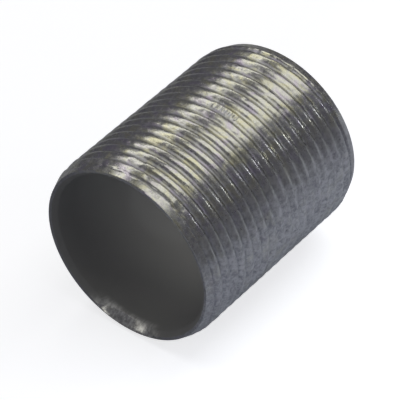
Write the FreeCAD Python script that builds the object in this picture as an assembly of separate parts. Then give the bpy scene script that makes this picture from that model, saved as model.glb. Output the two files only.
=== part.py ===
import FreeCAD, Part
import math
import os

os.makedirs("parts", exist_ok=True)

# Short all-thread pipe nipple: one steel tube, threaded from end to end.
# It lies on its side, its axis along +Y, and the origin is halfway along the axis.
# Sizes are in millimetres and angles in degrees.

# driving sizes
OUTER_DIAMETER = 25.0
LENGTH = 29.5
WALL = 1.6
PITCH = 1.5
FLANK_ANGLE = 60.0
DEPTH_IN_PITCHES = 0.42
ROOT_FLAT_IN_PITCHES = 0.13
LEAD_ANGLE = 20.0
LEAD_BELOW_ROOT = 0.05
END_RING = 0.4
REAM_LENGTH = 0.7
GROOVE_OVERSHOOT = 0.05

# sizes that follow from them
crest_r = OUTER_DIAMETER / 2.0
bore_r = crest_r - WALL
depth = DEPTH_IN_PITCHES * PITCH
root_r = crest_r - depth
root_half = ROOT_FLAT_IN_PITCHES * PITCH / 2.0
flank = math.tan(math.radians(FLANK_ANGLE / 2.0))
face_r = root_r - LEAD_BELOW_ROOT
lead_length = (crest_r - face_r) / math.tan(math.radians(LEAD_ANGLE))
ream_r = face_r - END_RING
half = LENGTH / 2.0

if bore_r >= ream_r:
    raise ValueError("the wall is too thin for the thread, the lead and the end ring")
if root_half + (depth + GROOVE_OVERSHOOT) * flank >= PITCH / 2.0:
    raise ValueError("neighbouring turns of the groove meet")


def ring(points):
    """The solid that a closed outline of (radius, height) points sweeps about the Z axis."""
    outline = [FreeCAD.Vector(r, 0, z) for r, z in points]
    face = Part.Face(Part.makePolygon(outline + outline[:1]))
    return face.revolve(FreeCAD.Vector(0, 0, 0), FreeCAD.Vector(0, 0, 1), 360)


def tube():
    """The tube before threading: bored, reamed at both mouths and turned to a lead at both ends."""
    return ring([
        (bore_r, REAM_LENGTH - half),
        (ream_r, -half),
        (face_r, -half),
        (crest_r, lead_length - half),
        (crest_r, half - lead_length),
        (face_r, half),
        (ream_r, half),
        (bore_r, half - REAM_LENGTH),
    ])


def groove():
    """The thread groove: a trapezium that runs along a right-hand helix, past both ends of the tube."""
    turns = math.ceil(LENGTH / PITCH) + 2
    reach = turns * PITCH / 2.0
    mouth_r = crest_r + GROOVE_OVERSHOOT
    mouth_half = root_half + (mouth_r - root_r) * flank
    section = [(root_r, -root_half), (mouth_r, -mouth_half), (mouth_r, mouth_half), (root_r, root_half)]
    corners = [FreeCAD.Vector(r, 0, z) for r, z in section]
    outline = Part.makePolygon(corners + corners[:1])
    one_turn = Part.makeHelix(PITCH, PITCH, root_r).makePipeShell([outline], False, True)
    faces = []
    for turn in range(turns):
        faces += one_turn.translated(FreeCAD.Vector(0, 0, turn * PITCH - reach)).Faces
    for end in (-reach, reach):
        faces.append(Part.Face(outline.translated(FreeCAD.Vector(0, 0, end))))
    shell = Part.makeShell(faces)
    shell.sewShape()
    solid = Part.makeSolid(shell)
    if solid.Volume < 0:
        solid.reverse()
    return solid


nipple = tube().cut(groove())
nipple.rotate(FreeCAD.Vector(0, 0, 0), FreeCAD.Vector(1, 0, 0), -90)

box = nipple.optimalBoundingBox()
print("solids", len(nipple.Solids), "valid", nipple.isValid(), "closed", nipple.Shells[0].isClosed())
print("faces", len(nipple.Faces), "volume mm3", round(nipple.Volume, 2))
print("box", [round(v, 3) for v in (box.XMin, box.XMax, box.YMin, box.YMax, box.ZMin, box.ZMax)])

nipple.exportStep("parts/nipple.step")
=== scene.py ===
import math

import bpy
import numpy as np
from mathutils import Matrix, Vector


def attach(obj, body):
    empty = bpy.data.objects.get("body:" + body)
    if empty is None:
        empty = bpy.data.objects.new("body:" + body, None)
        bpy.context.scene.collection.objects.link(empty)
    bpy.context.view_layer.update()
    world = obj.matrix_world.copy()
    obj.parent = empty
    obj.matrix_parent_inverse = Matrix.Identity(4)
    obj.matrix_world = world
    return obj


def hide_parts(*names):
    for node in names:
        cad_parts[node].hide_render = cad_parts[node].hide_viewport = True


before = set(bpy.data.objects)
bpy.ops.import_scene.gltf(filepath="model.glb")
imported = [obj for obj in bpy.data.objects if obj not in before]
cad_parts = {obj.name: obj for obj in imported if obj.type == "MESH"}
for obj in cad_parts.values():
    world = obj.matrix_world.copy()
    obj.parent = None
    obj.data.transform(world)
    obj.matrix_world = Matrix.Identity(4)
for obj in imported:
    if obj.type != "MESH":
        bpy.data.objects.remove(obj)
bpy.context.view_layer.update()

# The nipple, in metres, with the sizes of its CAD node. Its axis is Y and its centre the origin.
MM = 0.001
CREST = 0.0125
LENGTH = 0.0295
HALF = LENGTH / 2.0
PITCH = 0.0015
ROOT = CREST - 0.42 * PITCH
FLANK = math.tan(math.radians(30.0))
LEAD = math.tan(math.radians(20.0))
FACE = ROOT - 0.00005
REAM = FACE - 0.0004
REAM_LENGTH = 0.0007
BORE = 0.0109

# The surface's grid: columns round the axis, and rows that follow the thread, as offsets from the
# groove's middle. Rows closer than GATHER to an end are gathered on the end's ring.
COLUMNS = 348
RING = np.arange(COLUMNS)
ROWS = np.array([-0.60, -0.48, -0.38, -0.28, -0.18, -0.06, 0.06, 0.18, 0.28, 0.38, 0.48, 0.60,
                 0.75]) * MM
GATHER = 0.035 * MM

# How the thread has aged: how far its corners are rounded, how much is worn off and filled in.
ROUNDING = 0.38 * MM
LEAD_ROUNDING = 0.06 * MM
WEAR, FINE_WEAR = 0.018 * MM, 0.012 * MM
CROWN, CROWN_REACH, MOST_CROWN = 0.052 * MM, 0.3 * MM, 0.14 * MM
SWELL = 0.02 * MM
FILL, PATCHY_FILL, SIDE_FILL, UNEVEN_FILL = 0.17 * MM, 0.14 * MM, 0.19 * MM, 0.03 * MM
CHIPS, GRIT, LEAD_CHIPS, KNOCKS = 0.035 * MM, 0.004 * MM, 0.07 * MM, 0.16 * MM


# ---------------------------------------------------------------- the threaded tube

def ripple(x, seed, low, high, count=9):
    """A smooth random line, mostly in -1..1: a sum of sines in x, their rates from low to high."""
    rng = np.random.default_rng(seed)
    rates = np.geomspace(low, high, count) * rng.uniform(0.9, 1.1, count)
    starts = rng.uniform(0, 2 * np.pi, count)
    return np.sin(x[..., None] * rates + starts).sum(-1) / math.sqrt(count) * 0.75


def cloud(angle, y, seed, around, along, count=14):
    """A smooth random field, mostly in -1..1, that closes round the axis.

    It is a sum of sines in angle * waves + y in mm * rate, with a whole number of waves round the
    axis, up to around, and a rate up to along.
    """
    rng = np.random.default_rng(seed)
    waves = rng.integers(-around, around + 1, count)
    rates = rng.uniform(-along, along, count)
    starts = rng.uniform(0, 2 * np.pi, count)
    sines = np.sin(angle[..., None] * waves + y[..., None] / MM * rates + starts)
    return sines.sum(-1) / math.sqrt(count) * 0.8


def step(x, a, b):
    """0 below a, 1 above b, smooth between."""
    t = np.clip((x - a) / (b - a), 0, 1)
    return t * t * (3 - 2 * t)


def bell(x, width):
    """1 where x is 0, falling to 1 / e at width to either side."""
    return np.exp(-((x / width) ** 2))


def soft_min(a, b, k):
    """The smaller of a and b, with their corner rounded over about k."""
    h = np.clip(0.5 + 0.5 * (b - a) / k, 0, 1)
    return b * (1 - h) + a * h - k * h * (1 - h)


def soft_max(a, b, k):
    """The larger of a and b, with their corner rounded over about k."""
    return -soft_min(-a, -b, k)


def dent_places():
    """Where the outside is marked, each mark as (angle in degrees, y in mm, width round in mm,
    width along in mm, depth in mm).

    A row of chatter ticks is near the middle, one every third column. A nick is near the far end,
    and small knocks are scattered at random.
    """
    rng = np.random.default_rng(77)
    ticks, scattered = 5, 70
    places = [(285.5 - 3 * 360 / COLUMNS * k, 1.75, 0.12, 0.30, 0.36) for k in range(ticks)]
    places += [(284.0, 13.3, 0.24, 0.32, 0.30)]
    for _ in range(scattered):
        places.append((rng.uniform(0, 360), rng.uniform(-13.5, 13.5), rng.uniform(0.08, 0.22),
                       rng.uniform(0.08, 0.2), rng.uniform(0.03, 0.11)))
    return places


def dents(angle, y, places):
    """The depth of all the marks together: each is a bell round the axis times a bell along it."""
    total = np.zeros_like(angle)
    for at, along, wide, long, deep in places:
        turn = (angle - math.radians(at) + np.pi) % (2 * np.pi) - np.pi
        total += deep * MM * bell(turn * CREST, wide * MM) * bell(y / MM - along, long)
    return total


DENTS = dent_places()


def thread_radius(angle, y):
    """The outside's radius at an angle round the axis and a place y along it, and how high that is
    in the thread, from 0 low in the groove to 1 on the crest.

    The groove's middle is where y / pitch - angle / (2 pi) is a whole number, so it advances one
    pitch a turn, and s is the distance along y from it. The section is
    soft_max(soft_min(root + (s + swell) / flank, top), floor), and never above top. The top is the
    crest less its wear, and less a crown that falls off with the square of the distance from the
    crest's middle. The floor is the root and what fills it, which is most on the +X side and least
    at the ends. Chips, grit and knocks are taken off. A cone, face + (half length - |y|) * lead,
    limits the radius at each end, and the dents come last.
    """
    turns = y / PITCH - angle / (2 * np.pi)
    nearest = np.round(turns)
    s = np.abs(turns - nearest) * PITCH
    on_groove = angle + 2 * np.pi * nearest
    on_crest = angle + 2 * np.pi * np.floor(turns)
    side = np.sign(turns - nearest)
    at_ends = step(np.abs(y), HALF - 2.6 * MM, HALF - 1.4 * MM)

    worn = WEAR * (1 + ripple(on_crest, seed=3, low=0.15, high=3.0))
    worn += FINE_WEAR * (1 + ripple(on_crest, seed=5, low=9.0, high=47.0))
    crown = CROWN * ((PITCH / 2 - s) / CROWN_REACH) ** 2
    top = CREST - np.clip(worn, 0, 0.10 * MM) - np.clip(crown, 0, MOST_CROWN)

    swell = SWELL + SWELL * ripple(on_crest, seed=8, low=0.2, high=6.0) * side
    swell += SWELL * ripple(on_crest, seed=6, low=11.0, high=60.0)
    flank = ROOT + (s + swell) / FLANK

    patches = cloud(angle, y, seed=11, around=5, along=0.5)
    filled = FILL + PATCHY_FILL * np.clip(0.25 + patches, 0, 1)
    on_side = step(np.cos(angle - math.radians(12)), 0.45, 0.95)
    filled += SIDE_FILL * on_side * step(y, -9 * MM, 4 * MM)
    floor = ROOT + filled * (1 - 0.8 * at_ends)
    floor += UNEVEN_FILL * ripple(on_groove, seed=9, low=4.0, high=30.0)
    radius = soft_min(flank, top, ROUNDING)
    radius = np.minimum(soft_max(radius, floor, ROUNDING), top)

    shoulder = bell(s - 0.40 * MM, 0.14 * MM)
    chips = cloud(angle, y, seed=21, around=110, along=6.0, count=30)
    radius -= shoulder * CHIPS * np.clip(chips - 0.25, 0, 1)
    grit = cloud(angle, y, seed=22, around=130, along=9.0, count=40)
    radius -= GRIT * np.clip(1 + grit, 0, 2)
    chips = cloud(angle, y, seed=23, around=90, along=6.0, count=30)
    radius -= at_ends * LEAD_CHIPS * np.clip(0.2 + chips, 0, 1)
    knocked = step(-y, HALF - 5.5 * MM, HALF - 1.5 * MM) * step(radius, ROOT + 0.2 * MM, CREST)
    knocks = cloud(angle, y, seed=31, around=26, along=2.0, count=16)
    radius -= knocked * KNOCKS * np.clip(knocks - 0.2, 0, 1)

    cone = FACE + (HALF - np.abs(y)) * LEAD
    radius = soft_min(radius, cone, LEAD_ROUNDING)
    radius -= dents(angle, y, DENTS)
    below = np.minimum(top, cone) - radius
    return radius, np.clip(1 - below / (0.75 * (CREST - ROOT)), 0, 1)


def outside():
    """The outside's grid: each point's angle and y, the quads, and the two end rings' numbers.

    y = the row's offset + pitch * angle / (2 pi). The last column of a row is the first column of
    the row one turn further on. Rows past an end take the numbers of that end's ring.
    """
    reach = int(math.ceil(HALF / PITCH)) + 2
    offsets = (np.arange(-reach, reach)[:, None] * PITCH + ROWS[None, :]).ravel()
    rows = len(offsets)
    column = np.arange(COLUMNS + 1)
    angle = np.broadcast_to(column * 2 * np.pi / COLUMNS, (rows, COLUMNS + 1))
    y = offsets[:, None] + PITCH * angle / (2 * np.pi)

    near = (rows + len(ROWS)) * COLUMNS + RING
    far = near + COLUMNS
    number = np.arange(rows)[:, None] * COLUMNS + column[None, :]
    number[:, -1] = (np.arange(rows) + len(ROWS)) * COLUMNS
    number = np.where(y < -HALF + GATHER, near[column % COLUMNS], number)
    number = np.where(y > HALF - GATHER, far[column % COLUMNS], number)

    point_angle, point_y = np.zeros(far[-1] + 1), np.zeros(far[-1] + 1)
    point_angle[number.ravel()] = angle.ravel() % (2 * np.pi)
    point_y[number.ravel()] = np.clip(y, -HALF, HALF).ravel()
    for ring, end in ((near, -HALF), (far, HALF)):
        point_angle[ring] = RING * 2 * np.pi / COLUMNS
        point_y[ring] = end
    quads = np.stack([number[:-1, :-1], number[:-1, 1:], number[1:, 1:], number[1:, :-1]], -1)
    return point_angle, point_y, quads.reshape(-1, 4), near, far


def inside(near_rim, far_rim):
    """The inside's rings, from the near end face through the bore to the far one: each point's
    angle, y and radius, and how far it is into the bore, 0 to 1.

    radius = the profile's + a roughness that fades away from the ends - a weld seam in the bore,
    and at least 0.03 mm inside the outer rim. At the bottom of the near mouth a knife has cut the
    edge back: there y is no less than where a slanting cut, (cut's edge - radius) / 0.74 in from
    the end, has left the metal.
    """
    middle = np.linspace(0, 1, 13)[1:-1]
    bore_y = -HALF + REAM_LENGTH + (LENGTH - 2 * REAM_LENGTH) * middle
    mouth = [(FACE - 0.05 * MM, -HALF, 0.0),
             (FACE - 0.2 * MM, -HALF, 0.0),
             (REAM + 0.06 * MM, -HALF, 0.0),
             (REAM - 0.02 * MM, -HALF + 0.06 * MM, 0.2),
             (REAM - 0.2 * MM, -HALF + 0.33 * MM, 0.2),
             (BORE + 0.05 * MM, -HALF + 0.62 * MM, 0.2),
             (BORE, -HALF + REAM_LENGTH + 0.1 * MM, 1.0)]
    far_mouth = [(radius, -y, share) for radius, y, share in reversed(mouth)]
    profile = np.array(mouth + [(BORE, y, 1.0) for y in bore_y] + far_mouth)
    shape = (len(profile), COLUMNS)
    radius, y, share = (np.broadcast_to(values[:, None], shape) for values in profile.T)
    angle = np.broadcast_to(RING * 2 * np.pi / COLUMNS, shape)

    at_end = bell(HALF - np.abs(y), 0.5 * MM)
    radius = radius + 0.045 * MM * cloud(angle, y, seed=41, around=90, along=0.4, count=24) * at_end
    radius = radius + 0.02 * MM * cloud(angle, y, seed=42, around=6, along=0.2) * at_end
    seam = bell((angle - math.radians(215)) * BORE, 0.35 * MM)
    radius = radius - 0.10 * MM * seam * step(share, 0.5, 1.0)
    rim = np.where(y < 0, near_rim, far_rim)
    radius = np.minimum(radius, rim - 0.03 * MM)

    knifed = step(np.cos(angle - math.radians(93)), 0.88, 0.965) * (y < 0)
    uncut = BORE - 0.2 * MM
    cut_edge = uncut + (rim - 0.02 * MM - uncut) * knifed
    y = np.maximum(y, -HALF + np.minimum((cut_edge - radius) / 0.74, 1.3 * MM))
    return angle, y, radius, share


def open_faces(faces):
    """The quads with four different corners, and a triangle for each quad with one closed side.

    Gathering rows on a ring closes sides up. Quads with two closed sides have no area and go.
    """
    closed = faces == np.roll(faces, -1, axis=1)
    crossed = (faces[:, 0] == faces[:, 2]) | (faces[:, 1] == faces[:, 3])
    whole = faces[(closed.sum(1) == 0) & ~crossed]
    folded = (closed.sum(1) == 1) & ~crossed
    first = np.argmax(closed[folded], axis=1)
    corners = (first[:, None] + np.array([[1, 2, 3]])) % 4
    return whole, np.take_along_axis(faces[folded], corners, axis=1)


def nipple_mesh():
    """The whole tube as one closed surface: the outside, with the inside sewn to its end rings."""
    outer_angle, outer_y, outer_quads, near, far = outside()
    outer_radius, height = thread_radius(outer_angle, outer_y)
    inner_angle, inner_y, inner_radius, share = inside(outer_radius[near], outer_radius[far])

    inner = len(outer_angle) + np.arange(inner_y.size).reshape(inner_y.shape)
    rings = np.vstack([near, inner, far])
    rings = np.hstack([rings, rings[:, :1]])
    inner_quads = np.stack([rings[:-1, 1:], rings[:-1, :-1], rings[1:, :-1], rings[1:, 1:]], -1)
    whole, triangles = open_faces(np.vstack([outer_quads, inner_quads.reshape(-1, 4)]))

    angle = np.concatenate([outer_angle, inner_angle.ravel()])
    y = np.concatenate([outer_y, inner_y.ravel()])
    radius = np.concatenate([outer_radius, inner_radius.ravel()])
    height = np.concatenate([height, np.zeros(inner_y.size)])
    share = np.concatenate([np.zeros(len(outer_angle)), share.ravel()])

    used = np.unique(np.concatenate([whole.ravel(), triangles.ravel()]))
    renumber = np.zeros(len(angle), int)
    renumber[used] = np.arange(len(used))
    points = np.stack([radius * np.cos(angle), y, -radius * np.sin(angle)], -1)[used]
    loops = np.concatenate([renumber[whole].ravel(), renumber[triangles].ravel()])
    sizes = np.concatenate([np.full(len(whole), 4), np.full(len(triangles), 3)])
    return points, loops, sizes, {"height": height[used], "inside": share[used]}


def mesh_object(name, points, loops, sizes, values):
    """A smooth-shaded object from points, corner numbers and face sizes.

    values gives the mesh its own attributes: a name, and one number for each point.
    """
    mesh = bpy.data.meshes.new(name)
    mesh.vertices.add(len(points))
    mesh.vertices.foreach_set("co", points.astype(np.float32).ravel())
    mesh.loops.add(len(loops))
    mesh.loops.foreach_set("vertex_index", loops.astype(np.int32))
    mesh.polygons.add(len(sizes))
    starts = np.concatenate([[0], np.cumsum(sizes)[:-1]])
    mesh.polygons.foreach_set("loop_start", starts.astype(np.int32))
    mesh.update(calc_edges=True)
    mesh.validate()
    mesh.shade_smooth()
    for key, value in values.items():
        layer = mesh.attributes.new(key, "FLOAT", "POINT")
        layer.data.foreach_set("value", value.astype(np.float32))
    made = bpy.data.objects.new(name, mesh)
    bpy.context.scene.collection.objects.link(made)
    return made


# ---------------------------------------------------------------- materials

# Colours, dark and light where there are two.
ZINC = (0.25, 0.253, 0.275, 1), (0.38, 0.385, 0.41, 1)
WORN_ZINC = (0.35, 0.35, 0.325, 1), (0.46, 0.46, 0.42, 1)
BLOOM = (0.245, 0.255, 0.29, 1), (0.58, 0.59, 0.635, 1)
BARE_STEEL = (0.26, 0.26, 0.245, 1), (0.56, 0.56, 0.53, 1)
YELLOW_STAIN = (0.46, 0.44, 0.28, 1)
VIOLET_STAIN = (0.355, 0.305, 0.405, 1)
GRIME = (0.05, 0.048, 0.05, 1)
# The bore's two colours paint light into it: lighter in the middle, where less light reaches,
# darker at the mouths, to even out its shade.
BORE_MIDDLE_PAINTED_LIGHT, MOUTH = (0.44, 0.44, 0.425, 1), (0.165, 0.165, 0.159, 1)
# The floor's colours paint light and shade on it: a painted pool of light a little to the nipple's
# right, and painted shade to its left and further right.
FLOOR_PAINTED_SHADE_LEFT, FLOOR_PAINTED_LIGHT_RIGHT = (0.42, 0.43, 0.46, 1), (0.88, 0.92, 1.0, 1)
FLOOR_PAINTED_SHADE_FAR_RIGHT = (0.30, 0.31, 0.34, 1)
WHITE = (1, 1, 1, 1)


class Nodes:
    """Short calls for building a material: each adds a node, sets or links its inputs, and returns
    one of its outputs, except put, which returns the node."""

    def __init__(self, name):
        self.material = bpy.data.materials.new(name)
        self.material.use_nodes = True
        self.tree = self.material.node_tree
        self.tree.nodes.clear()

    def put(self, kind, inputs=(), **settings):
        made = self.tree.nodes.new(kind)
        for key, value in settings.items():
            setattr(made, key, value)
        for key, value in dict(inputs).items():
            if isinstance(value, bpy.types.NodeSocket):
                self.tree.links.new(value, made.inputs[key])
            else:
                made.inputs[key].default_value = value
        return made

    def sums(self, operation, a, b=0.0, clamp=False):
        made = self.put("ShaderNodeMath", {0: a, 1: b}, operation=operation, use_clamp=clamp)
        return made.outputs[0]

    def plus(self, a, b, clamp=False):
        return self.sums("ADD", a, b, clamp)

    def minus(self, a, b, clamp=False):
        return self.sums("SUBTRACT", a, b, clamp)

    def times(self, a, b):
        return self.sums("MULTIPLY", a, b)

    def larger(self, a, b):
        return self.sums("MAXIMUM", a, b)

    def sway(self, value, amount):
        """(value - 0.5) * amount: an even texture's swing to either side."""
        return self.times(self.minus(value, 0.5), amount)

    def mix(self, share, a, b):
        made = self.put("ShaderNodeMix", {0: share, 6: a, 7: b}, data_type="RGBA")
        return made.outputs[2]

    def between(self, value, low, high, to_low=0.0, to_high=1.0):
        """to_low where the value is at low, to_high where it is at high, smooth between."""
        ends = {0: value, 1: low, 2: high, 3: to_low, 4: to_high}
        return self.put("ShaderNodeMapRange", ends, interpolation_type="SMOOTHSTEP").outputs[0]

    def object_place(self):
        return self.put("ShaderNodeTexCoord").outputs["Object"]

    def noise(self, scale, stretch=(1, 1, 1), detail=3.0, rough=0.55, warp=0.0):
        scales = tuple(s * scale for s in stretch)
        place = self.put("ShaderNodeVectorMath", {0: self.object_place(), 1: scales},
                         operation="MULTIPLY").outputs[0]
        settings = {"Vector": place, "Scale": 1.0, "Detail": detail, "Roughness": rough,
                    "Distortion": warp}
        return self.put("ShaderNodeTexNoise", settings).outputs["Fac"]

    def facing(self, angle):
        """The cosine of a crest point's turn away from this angle, in degrees up from +X."""
        a = math.radians(angle)
        way = (math.cos(a) / CREST, 0.0, math.sin(a) / CREST)
        return self.put("ShaderNodeVectorMath", {0: self.object_place(), 1: way},
                        operation="DOT_PRODUCT").outputs["Value"]

    def ends(self, low, high):
        """0 up to low from the middle of the tube along Y, 1 past high."""
        y = self.put("ShaderNodeSeparateXYZ", {0: self.object_place()}).outputs["Y"]
        return self.between(self.sums("ABSOLUTE", y), low, high)

    def value(self, name):
        made = self.put("ShaderNodeAttribute", attribute_name=name, attribute_type="GEOMETRY")
        return made.outputs["Fac"]


def zinc_steel():
    """Old zinc on cut threads.

    It is dull blue-grey, worn brighter and smoother on the crests and grimy in the roots. The top
    has yellow and violet stains, and the +X side a pale speckled bloom. The ream and bore are dull
    and dark. The bore has painted light that makes it lighter toward the middle than at the mouths,
    to cancel the shade deeper inside, and bare metal shows where the mouth is scraped.
    """
    n = Nodes("zinc on cut steel")
    height, inner = n.value("height"), n.value("inside")

    patches = n.noise(300.0, detail=5.0, rough=0.65, warp=0.4)
    streaks = n.noise(1000.0, (0.22, 2.2, 0.22), detail=4.0, rough=0.65)
    grain = n.noise(2300.0, detail=4.0, rough=0.75)
    stain = n.noise(520.0, (1, 1.6, 1), detail=4.0, rough=0.6, warp=0.8)
    specks = n.noise(1500.0, detail=2.0, rough=0.5)
    scuffs = n.noise(1200.0, (1, 0.8, 1), detail=4.0, rough=0.7)
    scores = n.noise(1400.0, (1.8, 0.35, 1.8), rough=0.65)

    at_ends = n.ends(HALF - 2.2 * MM, HALF - 1.2 * MM)
    top = n.between(n.facing(82.0), 0.45, 0.95)
    bloomed = n.times(n.between(n.facing(-12.0), 0.55, 0.95), n.between(patches, 0.25, 0.55))
    worn = n.between(n.plus(height, n.sway(streaks, 0.5)), 0.35, 0.95)
    worn = n.times(worn, n.minus(1.0, n.times(bloomed, 0.6)))
    grime = n.between(n.plus(height, n.sway(patches, 0.4)), 0.45, -0.1)
    grime = n.larger(grime, n.between(specks, 0.69, 0.77))
    grime = n.larger(grime, n.times(at_ends, n.between(scuffs, 0.48, 0.62, 0.0, 0.8)))
    reamed = n.between(inner, 0.02, 0.2)
    at_mouth = n.ends(HALF - 1.9 * MM, HALF - 0.9 * MM)
    scraped = n.times(n.between(n.facing(-93.0), 0.77, 0.90), at_mouth)
    scraped = n.times(scraped, n.between(scuffs, 0.20, 0.46, 0.5, 1.0))
    dull = n.times(reamed, n.minus(1.0, scraped))

    colour = n.mix(n.between(grain, 0.30, 0.70), *ZINC)
    colour = n.mix(worn, colour, n.mix(n.between(grain, 0.30, 0.65), *WORN_ZINC))
    yellow = n.times(n.between(stain, 0.46, 0.70), n.times(top, 0.75))
    colour = n.mix(yellow, colour, YELLOW_STAIN)
    violet = n.times(n.between(stain, 0.50, 0.32), n.plus(n.times(top, 0.3), 0.28))
    colour = n.mix(violet, colour, VIOLET_STAIN)
    bloom = n.mix(n.between(n.plus(scuffs, grain), 0.76, 1.22), *BLOOM)
    colour = n.mix(n.times(bloomed, 0.7), colour, bloom)
    colour = n.mix(n.times(grime, n.between(top, 0.0, 1.0, 0.50, 0.12)), colour, GRIME)
    bare = n.mix(n.between(scores, 0.34, 0.66), *BARE_STEEL)
    # Painted light in the bore: its colour is lighter toward the middle of the tube, where less
    # light reaches, and darker at the mouths.
    deep = n.mix(n.ends(0.0, HALF), BORE_MIDDLE_PAINTED_LIGHT, MOUTH)
    colour = n.mix(n.larger(reamed, scraped), colour, n.mix(scraped, deep, bare))

    rough = n.plus(n.between(worn, 0.0, 1.0, 0.42, 0.25), n.sway(grain, 0.22))
    rough = n.plus(rough, n.times(bloomed, 0.18))
    rough = n.minus(rough, n.times(scraped, 0.25))
    rough = n.plus(rough, n.times(dull, 0.5), clamp=True)
    metal = n.minus(1.0, n.times(bloomed, 0.35))
    metal = n.minus(metal, n.times(grime, 0.4))
    metal = n.minus(metal, dull, clamp=True)

    bumps = {"Height": n.plus(n.times(streaks, 0.5), n.times(grain, 0.5)),
             "Strength": 0.2, "Distance": 0.00004}
    normal = n.put("ShaderNodeBump", bumps).outputs[0]
    skin = n.put("ShaderNodeBsdfPrincipled", {"Base Color": colour, "Roughness": rough,
                                              "Metallic": metal, "Normal": normal})
    n.put("ShaderNodeOutputMaterial", {"Surface": skin.outputs[0]})
    return n.material


def pale_floor():
    """A matt pale floor, with a painted pool of light a little to the nipple's right and painted
    shade to its left and further right, and lifted to white where it is seen directly."""
    n = Nodes("pale floor")
    seen = n.put("ShaderNodeLightPath").outputs["Is Camera Ray"]
    x = n.put("ShaderNodeSeparateXYZ", {0: n.object_place()}).outputs["X"]
    # Painted light and shade on the floor: lighter a little to the nipple's right, darker to its
    # left and further right.
    shade = n.mix(n.between(x, -0.02, 0.03), FLOOR_PAINTED_SHADE_LEFT, FLOOR_PAINTED_LIGHT_RIGHT)
    shade = n.mix(n.between(x, 0.05, 0.10), shade, FLOOR_PAINTED_SHADE_FAR_RIGHT)
    skin = n.put("ShaderNodeBsdfPrincipled",
                 {"Base Color": shade, "Roughness": 0.9, "Specular IOR Level": 0.1,
                  "Emission Color": WHITE, "Emission Strength": n.times(seen, 0.72)})
    n.put("ShaderNodeOutputMaterial", {"Surface": skin.outputs[0]})
    return n.material


# ---------------------------------------------------------------- the piece

nipple = mesh_object("threaded_tube", *nipple_mesh())
nipple.data.materials.append(zinc_steel())
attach(nipple, "root")
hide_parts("nipple")

# ---------------------------------------------------------------- floor, light and camera

bpy.ops.mesh.primitive_plane_add(size=6.0, location=(0, 0, -CREST))
floor = bpy.context.object
floor.name = "floor"
floor.data.materials.append(pale_floor())


def soft_light(name, place, turn, width, length, power, colour):
    """A rectangular light at a place, turned so that it shines along its own -Z."""
    data = bpy.data.lights.new(name, "AREA")
    data.shape = "RECTANGLE"
    data.size, data.size_y = width, length
    data.energy = power
    data.color = colour
    made = bpy.data.objects.new(name, data)
    bpy.context.scene.collection.objects.link(made)
    made.location = place
    made.rotation_mode = "QUATERNION"
    made.rotation_quaternion = turn


def overhead(name, angle, distance, half_width, along, length, power, colour):
    """A soft light above the axis and facing it, its long side along Y.

    angle is degrees up from +X, half_width the degrees that it covers to each side, and along its
    middle's y.
    """
    a = math.radians(angle)
    away, length_way = Vector((math.cos(a), 0, math.sin(a))), Vector((0, 1, 0))
    turn = Matrix((length_way.cross(away), length_way, away)).transposed().to_quaternion()
    width = 2 * distance * math.tan(math.radians(half_width))
    soft_light(name, away * distance + length_way * along, turn, width, length, power, colour)


WARM = (1.0, 0.99, 0.92)
for name, angle, distance, half_width, along, length, power, colour in (
        ("broad window", 82.5, 0.30, 17.5, 0.20, 0.60, 0.51, WARM),
        ("cool fill", 52.0, 0.30, 12.0, 0.20, 0.60, 0.022, (0.85, 0.90, 1.0)),
        ("lamp", 40.0, 0.30, 0.6, 0.24, 0.020, 0.050, (0.92, 0.95, 1.0)),
        ("narrow window", 124.5, 0.30, 6.0, 0.20, 0.60, 0.27, WARM),
        ("front lamp", 133.6, 0.275, 5.0, -0.12, 0.07, 0.034, (1.0, 0.98, 0.92))):
    overhead(name, angle, distance, half_width, along, length, power, colour)
card = Vector((0.05, -0.27, 0.20))
soft_light("front card", card, card.to_track_quat("Z", "Y"), 0.16, 0.12, 0.08, (1.0, 0.99, 0.93))

world = bpy.data.worlds.new("studio")
bpy.context.scene.world = world
world.use_nodes = True
sky = world.node_tree.nodes["Background"]
sky.inputs["Color"].default_value = (0.765, 0.76, 0.91, 1)
sky.inputs["Strength"].default_value = 0.19

bpy.context.scene.view_settings.view_transform = "Standard"

# The camera looks at AIM from DISTANCE away, AZIMUTH round from -Y toward +X and ELEVATION up.
AZIMUTH, ELEVATION = math.radians(37.58), math.radians(41.70)
DISTANCE = 0.330
AIM = Vector((0.00019, -0.00085, -0.00089))
back = Vector((math.sin(AZIMUTH) * math.cos(ELEVATION),
               -math.cos(AZIMUTH) * math.cos(ELEVATION),
               math.sin(ELEVATION)))
lens = bpy.data.cameras.new("camera")
lens.sensor_width = 36.0
lens.lens = 247.2
lens.clip_start, lens.clip_end = 0.01, 20.0
camera = bpy.data.objects.new("camera", lens)
bpy.context.scene.collection.objects.link(camera)
camera.location = AIM + back * DISTANCE
camera.rotation_mode = "QUATERNION"
camera.rotation_quaternion = (-back).to_track_quat("-Z", "Y")
bpy.context.scene.camera = camera
